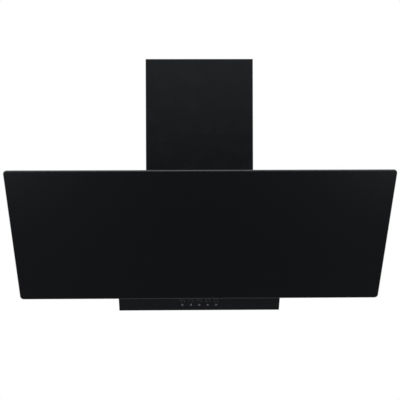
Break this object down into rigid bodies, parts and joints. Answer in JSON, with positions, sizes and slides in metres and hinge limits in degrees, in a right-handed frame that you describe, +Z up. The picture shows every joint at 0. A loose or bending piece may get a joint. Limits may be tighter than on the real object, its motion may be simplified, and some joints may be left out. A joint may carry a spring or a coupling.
{
  "type": "chimney range hood",
  "caption": "Angled wall-mounted range hood: tilted black glass flap with perimeter suction, slanted filter front, blower, duct collar with damper and telescopic chimney.",
  "frame": {"origin": "middle of the four wall screw holes, on the wall plane (the outer face of the back panel)", "axes": "+X to the right seen from the cook, along the glass; +Y into the wall; +Z up"},
  "size_m": [0.9, 0.3892, 0.6326],
  "materials": {
    "painted_black_steel": "satin",
    "galvanised_steel": "satin",
    "black_glass": "polished",
    "bond_tape": "matte",
    "zinc_plated_steel": "satin",
    "aluminium_filter": "satin",
    "black_plastic": "matte",
    "grey_plastic": "matte",
    "white_plastic": "matte",
    "chrome_cap": "satin",
    "magnet": "matte",
    "spring_steel": "polished",
    "rubber": "matte",
    "lamp_lens": "frosted",
    "circuit_board": "matte"
  },
  "bodies": {
    "housing": {"back_panel": "painted_black_steel", "left_side_panel": "painted_black_steel", "right_side_panel": "painted_black_steel", "top_plate": "painted_black_steel", "front_panel": "painted_black_steel", "control_strip": "painted_black_steel", "bottom_panel": "painted_black_steel", "housing_screws": "zinc_plated_steel", "hinge_base_left": "zinc_plated_steel", "hinge_base_right": "zinc_plated_steel", "hinge_pins": "zinc_plated_steel", "magnet_catches": "magnet", "filter_frame": "aluminium_filter", "filter_front_grille": "aluminium_filter", "filter_mesh_pack": "aluminium_filter", "filter_rear_grille": "aluminium_filter", "filter_latch_spring": "spring_steel", "switch_body": "black_plastic", "button_springs": "spring_steel", "scroll_half_left": "grey_plastic", "scroll_half_right": "grey_plastic", "inlet_ring_left": "black_plastic", "inlet_ring_right": "black_plastic", "motor_housing": "galvanised_steel", "motor_bracket": "galvanised_steel", "motor_bushes": "rubber", "blower_screws": "zinc_plated_steel", "run_capacitor": "white_plastic", "outlet_collar": "black_plastic", "damper_rod": "zinc_plated_steel", "chimney_lower_cover": "painted_black_steel", "lamp_bezels": "chrome_cap", "lamp_lenses": "lamp_lens", "lamp_boards": "circuit_board", "terminal_box": "white_plastic", "terminal_box_cover": "white_plastic", "lamp_driver": "white_plastic", "mains_gland": "black_plastic", "internal_wiring": "rubber"},
    "glass_flap": {"glass_panel": "black_glass", "glass_bond_strips": "bond_tape", "glass_carrier": "painted_black_steel", "hinge_leaf_left": "zinc_plated_steel", "hinge_leaf_right": "zinc_plated_steel", "hinge_leaf_screws": "zinc_plated_steel", "catch_plates": "zinc_plated_steel"},
    "blower_rotor": {"impeller": "black_plastic", "impeller_nut": "zinc_plated_steel", "motor_shaft": "zinc_plated_steel"},
    "upper_chimney": {"chimney_upper_cover": "painted_black_steel", "chimney_wall_bracket": "galvanised_steel", "bracket_screws": "zinc_plated_steel"},
    "filter_latch": {"filter_latch": "black_plastic"},
    "damper_flap_left": {"damper_flap_left": "black_plastic"},
    "damper_flap_right": {"damper_flap_right": "black_plastic"},
    "button_off": {"button_off": "chrome_cap"},
    "button_speed_1": {"button_speed_1": "chrome_cap"},
    "button_speed_2": {"button_speed_2": "chrome_cap"},
    "button_speed_3": {"button_speed_3": "chrome_cap"},
    "button_lamp": {"button_lamp": "chrome_cap"}
  },
  "joints": [
    {"name": "glass_flap_hinge", "type": "hinge", "parent": "housing", "child": "glass_flap", "pos_m": [0, -0.34609, 0.09411], "axis": [-1, 0, 0], "range_deg": [0, 70]},
    {"name": "blower_spin", "type": "hinge", "parent": "housing", "child": "blower_rotor", "pos_m": [0, -0.102, -0.025], "axis": [1, 0, 0], "continuous": true},
    {"name": "chimney_slide", "type": "slide", "parent": "housing", "child": "upper_chimney", "axis": [0, 0, 1], "range_m": [0, 0.24]},
    {"name": "filter_latch_slide", "type": "slide", "parent": "housing", "child": "filter_latch", "axis": [0, -0.5736, 0.8192], "range_m": [0, 0.008], "stiffness_N_per_m": 250, "springref_m": -0.006, "deforming": ["filter_latch_spring"]},
    {"name": "damper_left_hinge", "type": "hinge", "parent": "housing", "child": "damper_flap_left", "pos_m": [0, -0.127, 0.13], "axis": [0, 1, 0], "range_deg": [0, 75]},
    {"name": "damper_right_hinge", "type": "hinge", "parent": "housing", "child": "damper_flap_right", "pos_m": [0, -0.127, 0.13], "axis": [0, -1, 0], "range_deg": [0, 75]},
    {"name": "button_off_press", "type": "slide", "parent": "housing", "child": "button_off", "axis": [0, 0.8192, 0.5736], "range_m": [0, 0.0025], "stiffness_N_per_m": 400, "springref_m": -0.002, "deforming": ["button_springs"]},
    {"name": "button_speed_1_press", "type": "slide", "parent": "housing", "child": "button_speed_1", "axis": [0, 0.8192, 0.5736], "range_m": [0, 0.0025], "stiffness_N_per_m": 400, "springref_m": -0.002, "deforming": ["button_springs"]},
    {"name": "button_speed_2_press", "type": "slide", "parent": "housing", "child": "button_speed_2", "axis": [0, 0.8192, 0.5736], "range_m": [0, 0.0025], "stiffness_N_per_m": 400, "springref_m": -0.002, "deforming": ["button_springs"]},
    {"name": "button_speed_3_press", "type": "slide", "parent": "housing", "child": "button_speed_3", "axis": [0, 0.8192, 0.5736], "range_m": [0, 0.0025], "stiffness_N_per_m": 400, "springref_m": -0.002, "deforming": ["button_springs"]},
    {"name": "button_lamp_press", "type": "slide", "parent": "housing", "child": "button_lamp", "axis": [0, 0.8192, 0.5736], "range_m": [0, 0.0025], "stiffness_N_per_m": 400, "springref_m": -0.002, "deforming": ["button_springs"]}
  ]
}
